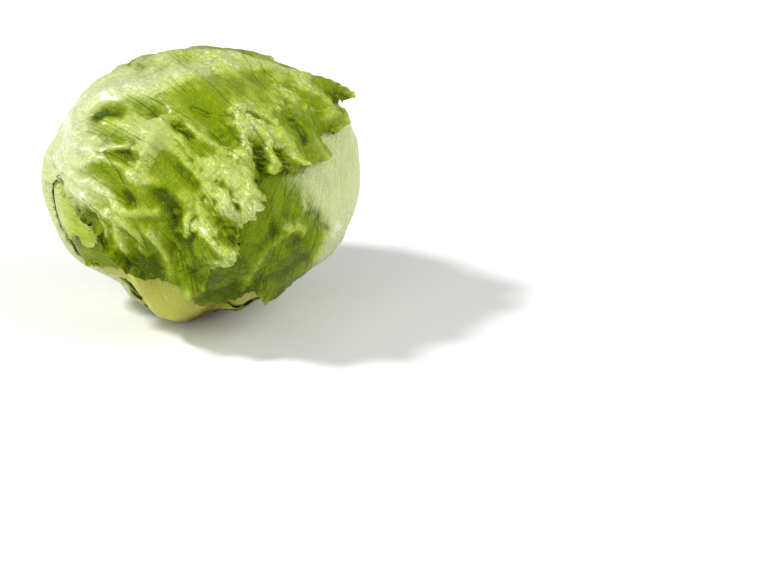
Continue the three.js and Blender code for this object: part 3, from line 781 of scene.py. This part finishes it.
class Nodes:
    """Makes and joins the nodes of one material or group."""

    def __init__(self, tree):
        self.tree = tree

    def add(self, kind, values=None, **settings):
        node = self.tree.nodes.new(kind)
        for key, value in settings.items():
            setattr(node, key, value)
        return self.fill(node, values or {})

    def fill(self, node, values):
        """Sets a node's inputs, or links them where a value is an output."""
        for key, value in values.items():
            if isinstance(value, bpy.types.NodeSocket):
                self.tree.links.new(value, node.inputs[key])
            else:
                node.inputs[key].default_value = value
        return node

    def math(self, operation, a, b=0.0, clamp=False):
        return self.add("ShaderNodeMath", {0: a, 1: b}, operation=operation, use_clamp=clamp).outputs[0]

    def mix(self, factor, a, b, blend="MIX"):
        node = self.add("ShaderNodeMix", {0: factor, 6: a, 7: b}, data_type="RGBA", blend_type=blend)
        return node.outputs[2]

    def total(self, *terms):
        """The sum of terms, each a value, its weight and what is taken off the value first."""
        result = None
        for value, weight, middle in terms:
            part = self.math("MULTIPLY", self.math("SUBTRACT", value, middle), weight)
            result = part if result is None else self.math("ADD", result, part)
        return result

    def span(self, value, low, high, to_low=0.0, to_high=1.0):
        return self.add("ShaderNodeMapRange", {0: value, 1: low, 2: high, 3: to_low, 4: to_high},
                        interpolation_type="SMOOTHSTEP").outputs[0]

    def attribute(self, name):
        return self.add("ShaderNodeAttribute", attribute_name=name).outputs["Fac"]

    def plus(self, a, b, operation="ADD"):
        return self.add("ShaderNodeVectorMath", {0: a, 1: b}, operation=operation).outputs[0]

    def scaled(self, vector, x, y, z=1.0):
        return self.plus(vector, (x, y, z), "MULTIPLY")

    def noise(self, vector, scale, detail=3.0, rough=0.55):
        return self.add("ShaderNodeTexNoise", {"Vector": vector, "Scale": scale, "Detail": detail,
                                               "Roughness": rough}).outputs["Fac"]


def new_group(name, inputs, outputs):
    """An empty shader node group with named sockets."""
    tree = bpy.data.node_groups.new(name, "ShaderNodeTree")
    for kind, (label, default) in inputs:
        socket = tree.interface.new_socket(label, in_out="INPUT", socket_type=kind)
        if default is not None:
            socket.default_value = default
    for kind, label in outputs:
        tree.interface.new_socket(label, in_out="OUTPUT", socket_type=kind)
    nodes = Nodes(tree)
    return nodes, nodes.add("NodeGroupInput"), nodes.add("NodeGroupOutput")


def vein_group():
    """Thin forking veins along the leaf's own course, and a finer net between them."""
    n, source, result = new_group(
        "Leaf Veins",
        [("NodeSocketVector", ("Course", None)), ("NodeSocketVector", ("Place", None))],
        [("NodeSocketFloat", "Main"), ("NodeSocketFloat", "Net"), ("NodeSocketFloat", "Streaks")])
    course, place = source.outputs["Course"], source.outputs["Place"]
    sway = n.add("ShaderNodeTexNoise", {"Vector": place, "Scale": 45.0, "Detail": 3.0}).outputs["Color"]
    sway = n.plus(sway, (0.5, 0.5, 0.5), "SUBTRACT")
    course = n.plus(course, n.scaled(sway, 0.25, 0.25))
    # Each level: cells per centimetre across, how much longer they are, line width and weight.
    main = None
    for count, stretch, width, weight in ((0.75, 7.0, 0.018, 1.0), (1.5, 4.5, 0.02, 0.45)):
        cells = {"Vector": n.scaled(course, count, count / stretch, 0.0), "Scale": 1.0, "Randomness": 0.9}
        cell = n.add("ShaderNodeTexVoronoi", cells, feature="DISTANCE_TO_EDGE",
                     voronoi_dimensions="2D").outputs["Distance"]
        shown = n.math("MULTIPLY", n.span(cell, width * 0.3, width, 1.0, 0.0),
                       n.span(n.noise(n.scaled(course, 0.9, 0.25), 1.0), 0.4, 0.56, 0.0, weight))
        main = shown if main is None else n.math("MAXIMUM", main, shown)
    bent = n.plus(place, n.scaled(sway, 0.006, 0.006, 0.006))
    net = n.add("ShaderNodeTexVoronoi", {"Vector": bent, "Scale": 330.0}, feature="DISTANCE_TO_EDGE")
    net = net.outputs["Distance"]
    streaks = n.noise(n.scaled(course, 14.0, 0.55), 1.0, 3.0)
    n.fill(result, {"Main": main, "Net": n.span(net, 0.0, 0.3, 1.0, 0.0), "Streaks": streaks})
    return n.tree


def grain_group():
    """The fine pitted skin of a leaf: a height for bumps, a mottle for colour, and drops that are bumps,
    smooth spots and painted glints.
    """
    n, source, result = new_group(
        "Leaf Skin",
        [("NodeSocketVector", ("Place", None)), ("NodeSocketFloat", ("Pit Scale", 1500.0))],
        [("NodeSocketFloat", "Height"), ("NodeSocketFloat", "Mottle"), ("NodeSocketFloat", "Drops And Glints")])
    place = source.outputs["Place"]
    pits = n.add("ShaderNodeTexVoronoi", {"Vector": place, "Scale": source.outputs["Pit Scale"]},
                 feature="SMOOTH_F1").outputs["Distance"]
    soft = n.noise(place, 560.0, 3.0, 0.5)
    drop = n.add("ShaderNodeTexVoronoi", {"Vector": place, "Scale": 820.0}, feature="F1")
    chosen = n.span(drop.outputs["Color"], 0.48, 0.54)
    drops_and_glints = n.math("MULTIPLY", n.span(drop.outputs["Distance"], 0.14, 0.28, 1.0, 0.0), chosen)
    height = n.math("ADD", n.math("MULTIPLY", pits, 0.5), soft)
    n.fill(result, {"Height": height, "Mottle": n.noise(place, 120.0, 5.0, 0.62), "Drops And Glints": drops_and_glints})
    return n.tree


def skin_groups():
    """The shared node groups, built once."""
    made = bpy.data.node_groups
    return {"veins": made.get("Leaf Veins") or vein_group(),
            "skin": made.get("Leaf Skin") or grain_group()}


def new_material(name):
    """A new material with its nodes and its shader."""
    material = bpy.data.materials.new(name)
    material.use_nodes = True
    nodes = Nodes(material.node_tree)
    return material, nodes, nodes.tree.nodes["Principled BSDF"]


def leaf_material(name, finish, deep, mid, light, pale, pale_share=1.0, vein=0.5, blister=0.5):
    """A leaf's finish: green blade with painted light on its crests and painted shade in its hollows, pale
    ground near the rib, veins, pits, a soft gloss, and a painted sheen and glints.
    """
    groups = skin_groups()
    material, n, shader = new_material(name)
    place = n.add("ShaderNodeTexCoord").outputs["Object"]
    course = n.add("ShaderNodeUVMap", uv_map="veins").outputs[0]
    rib_map = n.add("ShaderNodeUVMap", uv_map="rib").outputs[0]
    veins = n.add("ShaderNodeGroup", {"Course": course, "Place": place}, node_tree=groups["veins"])
    skin = n.add("ShaderNodeGroup", {"Place": place}, node_tree=groups["skin"])
    main, net = veins.outputs["Main"], veins.outputs["Net"]
    streaks, mottle, drops_and_glints = veins.outputs["Streaks"], skin.outputs["Mottle"], skin.outputs["Drops And Glints"]
    crest, edge, pale_at = n.attribute("crest"), n.attribute("edge"), n.attribute("pale")

    broad = n.noise(place, 26.0, 4.0, 0.6)
    # The blade is painted lighter on the crests and darker in the hollows, as light and shade, over the
    # leaf's own random mottle and streaks.
    shade_and_tone = n.total((crest, 1.1, 0), (broad, 0.5, 0.5), (mottle, 0.9, 0.5), (streaks, 0.55, 0.5))
    blade = n.mix(n.span(shade_and_tone, 0.03, 0.64), (*deep, 1), (*mid, 1))
    blade = n.mix(n.span(shade_and_tone, 0.6, 1.1), blade, (*light, 1))
    # The pale ground spreads from the rib in streaks, and the crests are painted paler as painted light.
    ragged = n.total((pale_at, 1, 0), (streaks, 0.7, 0.5), (crest, 0.6, 0.55), (mottle, 0.5, 0.5))
    ground = n.span(ragged, 0.15, 0.95, 0.0, pale_share)
    along = n.noise(n.scaled(rib_map, 180.0, 9.0), 1.0, 3.0)
    rib_colour = n.mix(n.span(along, 0.35, 0.7), (*pale, 1), (*[c * 0.85 for c in pale], 1))
    rib_colour = n.mix(n.span(streaks, 0.45, 0.75, 0.0, 0.45), rib_colour, (*light, 1))
    colour = n.mix(ground, blade, rib_colour)
    darker = n.mix(1.0, colour, (0.3, 0.38, 0.15, 1), "MULTIPLY")
    main = n.math("MULTIPLY", main, n.span(ground, 0.1, 0.8, 1.0, 0.2))
    colour = n.mix(n.math("MULTIPLY", main, vein), colour, darker)
    colour = n.mix(n.math("MULTIPLY", net, 0.07), colour, darker)
    # The thin edges are painted lighter, as a painted glow of light shining through them.
    colour = n.mix(n.math("MULTIPLY", edge, 0.5), colour, (*light, 1))
    # A fine grain of painted sheen whitens the crests.
    painted_sheen = n.math("MULTIPLY", n.span(crest, 0.66, 1.0), n.span(skin.outputs["Height"], 0.72, 0.86))
    painted_sheen = n.math("MULTIPLY", painted_sheen, n.span(broad, 0.42, 0.58, 0.1, 0.5))
    colour = n.mix(painted_sheen, colour, (0.8, 0.86, 0.6, 1))
    # The drops are painted whitish, as painted glints.
    colour = n.mix(n.math("MULTIPLY", drops_and_glints, 0.4), colour, (0.75, 0.8, 0.5, 1))
    browned = n.math("MULTIPLY", n.attribute("stem_end"), n.span(mottle, 0.35, 0.55))
    colour = n.mix(browned, colour, (*finish.cut_brown, 1))

    # The crests shine most, as if they were moist.
    moist = n.math("MULTIPLY", n.span(crest, 0.48, 0.85), n.span(broad, 0.38, 0.56, 0.25, 0.9))
    rough = n.span(mottle, 0.3, 0.7, finish.roughness - 0.1, finish.roughness + 0.1)
    rough = n.total((rough, 1, 0), (moist, -0.12, 0), (drops_and_glints, -0.22, 0))
    coat = n.math("MULTIPLY", moist, 0.9)
    height = n.total((skin.outputs["Height"], 0.35, 0), (main, -0.4, 0), (net, -0.3 * blister, 0),
                     (streaks, 0.4, 0), (drops_and_glints, 0.35, 0))
    bump = n.add("ShaderNodeBump", {"Strength": 1.0, "Distance": 0.0012, "Height": height})
    n.fill(shader, {"Base Color": colour, "Roughness": rough, "IOR": 1.45, "Specular IOR Level": 0.2,
                    "Specular Tint": (0.85, 1.0, 0.35, 1), "Coat Weight": coat, "Coat Roughness": 0.27,
                    "Normal": bump.outputs[0]})
    return material


def stem_material(finish):
    """The cut stem: pale pith with fibres, browned by its sap at the cut."""
    material, n, shader = new_material("Cut Stem")
    place = n.add("ShaderNodeTexCoord").outputs["Object"]
    skin = n.add("ShaderNodeGroup", {"Place": place}, node_tree=skin_groups()["skin"])
    around_stem = n.noise(place, 160.0, 5.0, 0.6)
    height = n.add("ShaderNodeSeparateXYZ", {0: place}).outputs[2]
    low = n.span(height, 0.0005, 0.005, 1.0, 0.0)
    stain = n.math("MULTIPLY", n.math("ADD", low, 0.25), n.span(around_stem, 0.3, 0.62), True)
    colour = n.mix(stain, (*finish.pith, 1), (*finish.cut_brown, 1))
    grain = skin.outputs["Height"]
    bump = n.add("ShaderNodeBump", {"Strength": 0.5, "Distance": 0.0008, "Height": grain})
    n.fill(shader, {"Base Color": colour, "Roughness": 0.7, "Normal": bump.outputs[0]})
    return material


# Settings

def number(name, description, default, **settings):
    """A number property."""
    return bpy.props.FloatProperty(name=name, description=description, default=default, **settings)


def length(name, description, default):
    """A length property, in metres."""
    return number(name, description, default, unit="LENGTH", min=0)


def angle(name, description, degrees):
    """An angle property."""
    return number(name, description, math.radians(degrees), subtype="ANGLE", unit="ROTATION")


def colour(name, description, default):
    """A colour property."""
    return bpy.props.FloatVectorProperty(
        name=name, description=description, default=default, subtype="COLOR", size=3, min=0, max=1)


class LettuceFinish(bpy.types.PropertyGroup):
    """Colours and gloss of the leaves and the stem."""
    # Deep green is painted shade in the hollows and folds, and the leaf's own darker mottle.
    deep: colour("Deep green", "Hollows and shaded folds of a leaf", srgb(62, 80, 0))
    green: colour("Leaf green", "The blade of a leaf", srgb(115, 136, 0))
    # Light green is painted light on the crests, blisters and thin edges, and the leaf's own light
    # streaks.
    light: colour("Light green", "Crests and blisters of a leaf", srgb(166, 182, 46))
    pale: colour("Pale rib", "Ribs and the ground round them", srgb(200, 208, 150))
    rib: colour("Smooth rib", "The thick ribs at the foot of the head", srgb(190, 190, 84))
    pith: colour("Pith", "The stem under its browned cut", srgb(196, 178, 118))
    cut_brown: colour("Cut brown", "Where the cut has browned", srgb(128, 86, 34))
    roughness: number("Roughness", "How dull the leaves are", 0.4, min=0.1, max=0.9, subtype="FACTOR")


class LettuceStage(bpy.types.PropertyGroup):
    """Camera, light and floor."""
    distance: length("Camera distance", "From the camera to the middle of the head", 1.1171)
    elevation: angle("Camera elevation", "How far the camera looks down", VIEW_DOWN)
    aim_right: length("Aim right", "How far right of the head the camera aims", 0.0962)
    aim_down: length("Aim down", "How far below the head's middle the camera aims", 0.0544)
    roll: angle("Camera roll", "Keeps the head upright off the image's middle", 1.94)
    floor: colour("Floor", "Colour of the floor", (0.85, 0.85, 0.85))
    key: number("Key light", "Strength of the main light, from the upper left", 2.8, min=0)
    front: number("Front light", "Strength of the soft light from the left, behind the camera", 0.9, min=0)
    side: number("Side light", "Strength of the soft light from the right", 1.6, min=0)
    fill: number("Fill light", "Strength of the light all round", 0.42, min=0)


# Pieces

def wrapper_material(leaf, finish):
    """The finish of one wrapper leaf."""
    deep, green, light, pale = finish.deep, finish.green, finish.light, finish.pale
    if leaf.slot == "pale_rib":
        return leaf_material(leaf.name, finish, green, light, light, finish.rib, 0.95, 0.2, 0.2)
    if leaf.slot == "torn_leaf":
        return leaf_material(leaf.name, finish, green, light, pale, pale, 0.8, 0.3, 0.4)
    return leaf_material(leaf.name, finish, deep, green, light, pale)


class LETTUCE_OT_stage(bpy.types.Operator):
    """Set up the camera, the soft light and the pale floor"""
    bl_idname = "lettuce.stage"
    bl_label = "Stage"

    def execute(self, context):
        stage = context.scene.lettuce_stage
        scene = context.scene
        scene.view_settings.view_transform = "Standard"
        middle = Vector((AIM_X, 0, CENTRE_HEIGHT)) * MM
        back = Vector((0, -math.cos(stage.elevation), math.sin(stage.elevation)))
        right = Vector((1, 0, 0))
        up = back.cross(right)
        camera_data = bpy.data.cameras.new("Camera")
        camera_data.lens = LENS
        camera_data.clip_end = 20
        camera = bpy.data.objects.new("Camera", camera_data)
        camera.location = middle + back * stage.distance
        aim = middle + right * stage.aim_right - up * stage.aim_down
        turn = (aim - camera.location).to_track_quat("-Z", "Y") @ Quaternion((0, 0, 1), stage.roll)
        camera.rotation_euler = turn.to_euler()
        scene.collection.objects.link(camera)
        scene.camera = camera

        for name, energy, width, towards in (("Key", stage.key, 9, (0.68, 0.05, -0.73)),
                                             ("Front", stage.front, 60, (0.6, 0.7, -0.38)),
                                             ("Side", stage.side, 50, (-0.8, 0.2, -0.55))):
            light_data = bpy.data.lights.new(name, "SUN")
            light_data.energy = energy
            light_data.angle = math.radians(width)
            light = bpy.data.objects.new(name, light_data)
            light.rotation_euler = Vector(towards).to_track_quat("-Z", "Y").to_euler()
            scene.collection.objects.link(light)

        world = bpy.data.worlds.new("Studio")
        world.use_nodes = True
        world.node_tree.nodes["Background"].inputs["Color"].default_value = (1, 1, 1, 1)
        world.node_tree.nodes["Background"].inputs["Strength"].default_value = stage.fill
        scene.world = world

        bm = bmesh.new()
        bmesh.ops.create_grid(bm, x_segments=1, y_segments=1, size=FLOOR_HALF)
        mesh = mesh_from(bm, "Floor")
        material, n, shader = new_material("Floor")
        n.fill(shader, {"Base Color": (*stage.floor, 1), "Roughness": 0.9})
        mesh.materials.append(material)
        floor = bpy.data.objects.new("Floor", mesh)
        scene.collection.objects.link(floor)
        return {"FINISHED"}


class LETTUCE_OT_stem(bpy.types.Operator):
    """Make the cut stem"""
    bl_idname = "lettuce.stem"
    bl_label = "Cut stem"

    def execute(self, context):
        r = STEM_RADIUS
        profile = ((0.0, 0.35), (r * 0.5, 0.2), (r * 0.8, 0.0), (r - 1.1, 0.0), (r - 0.4, 0.3), (r, 1.2),
                   (r * 1.01, 6), (r * 1.02, 12), (r * 0.92, 17.5), (STEM_TOP_RADIUS, STEM_TOP - 1.5),
                   (STEM_TOP_RADIUS - 2, STEM_TOP), (0.0, STEM_TOP))
        bm = bmesh.new()
        ring = [bm.verts.new((x, 0, z)) for x, z in profile]
        edges = [bm.edges.new(pair) for pair in zip(ring, ring[1:])]
        bmesh.ops.spin(bm, geom=ring + edges, cent=(0, 0, 0), axis=(0, 0, 1), angle=2 * math.pi,
                       steps=STEM_STEPS, use_merge=True)
        bmesh.ops.subdivide_edges(bm, edges=bm.edges, cuts=1, use_grid_fill=True)
        shift = stem_shift()
        for vert in bm.verts:
            turn = math.atan2(vert.co.y, vert.co.x)
            uneven = 1 + 0.012 * math.sin(3 * turn + 1) + 0.008 * math.sin(7 * turn)
            vert.co.x, vert.co.y = vert.co.x * uneven, vert.co.y * uneven
            vert.co = (vert.co + Vector(shift)) * MM
        mesh = mesh_from(bm, "cut_stem")
        finish_mesh(mesh, 1e-7)
        finish = context.scene.lettuce_finish
        add_piece("cut_stem", mesh, stem_material(finish), "cut_stem", "stem")
        return {"FINISHED"}


class LETTUCE_OT_heart(bpy.types.Operator):
    """Make the heart, the ball of inner leaves"""
    bl_idname = "lettuce.heart"
    bl_label = "Heart"

    def execute(self, context):
        bm = bmesh.new()
        bmesh.ops.create_icosphere(bm, subdivisions=6, radius=1)
        mesh = mesh_from(bm, "heart_leaves")
        d = points_of(mesh)
        d /= np.linalg.norm(d, axis=1)[:, None]
        radius = body_radius(d) - HEART_DOWN + HEART_PUCKER * (pillows(d * 7, 900) - 0.5)
        for azimuth, elevation, reach in HEART_EDGES:
            away = angle_between(d, direction(azimuth, elevation))
            radius -= HEART_STEP * smooth(away, reach, reach + 4)
        points = d * radius[:, None]
        over_stem = np.hypot(points[:, 0], points[:, 1]) < STEM_ROOM
        points[:, 2] = np.maximum(points[:, 2] + CENTRE_HEIGHT, STEM_TOP * over_stem)
        maps = {"veins": (d[:, 0] * 7, d[:, 2] * 7), "rib": (d[:, 1], d[:, 2])}
        values = {"pale": 1.0, "crest": 0.5, "edge": 0.0, "stem_end": 0.0}
        finish_skin(mesh, points, maps, {key: np.full(len(d), value) for key, value in values.items()})
        finish = context.scene.lettuce_finish
        material = leaf_material("Heart", finish, finish.green, finish.light, finish.pale, finish.pale,
                                 0.9, 0.1, 0.3)
        add_piece("heart_leaves", mesh, material, "heart_leaf", "heart")
        return {"FINISHED"}


def make_leaves(context, names):
    """Makes the wrapper leaves with these names."""
    for leaf in leaves:
        if leaf.name in names:
            material = wrapper_material(leaf, context.scene.lettuce_finish)
            add_piece(leaf.name + "_blade", leaf_mesh(leaf), material, leaf.slot, leaf.name)


class LETTUCE_OT_inner_wrappers(bpy.types.Operator):
    """Make the inner wrapper leaves, with the torn one and the thick pale ribs"""
    bl_idname = "lettuce.inner_wrappers"
    bl_label = "Inner wrapper leaves"

    def execute(self, context):
        make_leaves(context, [leaf.name for leaf in leaves[:6]])
        return {"FINISHED"}


class LETTUCE_OT_outer_wrappers(bpy.types.Operator):
    """Make the two large outer wrapper leaves, at the right and at the back"""
    bl_idname = "lettuce.outer_wrappers"
    bl_label = "Outer wrapper leaves"

    def execute(self, context):
        make_leaves(context, [leaf.name for leaf in leaves[6:8]])
        return {"FINISHED"}


class LETTUCE_OT_cap(bpy.types.Operator):
    """Make the cap leaf, the outermost one"""
    bl_idname = "lettuce.cap"
    bl_label = "Cap leaf"

    def execute(self, context):
        make_leaves(context, [leaves[8].name])
        return {"FINISHED"}


OPERATORS = (LETTUCE_OT_stage, LETTUCE_OT_stem, LETTUCE_OT_heart, LETTUCE_OT_inner_wrappers,
             LETTUCE_OT_outer_wrappers, LETTUCE_OT_cap)


class LETTUCE_PT_head(bpy.types.Panel):
    """Lists the settings and the pieces"""
    bl_idname = "LETTUCE_PT_head"
    bl_label = "Head of Lettuce"
    bl_space_type = "VIEW_3D"
    bl_region_type = "UI"
    bl_category = "Lettuce"

    def draw(self, context):
        for group in (context.scene.lettuce_finish, context.scene.lettuce_stage):
            for key in group.__annotations__:
                self.layout.prop(group, key)
        for operator in OPERATORS:
            self.layout.operator(operator.bl_idname)


CLASSES = (LettuceFinish, LettuceStage, *OPERATORS, LETTUCE_PT_head)


def register():
    for cls in CLASSES:
        bpy.utils.register_class(cls)
    bpy.types.Scene.lettuce_finish = bpy.props.PointerProperty(type=LettuceFinish)
    bpy.types.Scene.lettuce_stage = bpy.props.PointerProperty(type=LettuceStage)


def unregister():
    del bpy.types.Scene.lettuce_finish
    del bpy.types.Scene.lettuce_stage
    for cls in reversed(CLASSES):
        bpy.utils.unregister_class(cls)


def main():
    """Builds the whole head."""
    register()
    bpy.ops.lettuce.stage()
    bpy.ops.lettuce.stem()
    bpy.ops.lettuce.heart()
    bpy.ops.lettuce.inner_wrappers()
    bpy.ops.lettuce.outer_wrappers()
    bpy.ops.lettuce.cap()
    bpy.context.view_layer.update()
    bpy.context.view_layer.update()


if __name__ == "__main__":
    main()
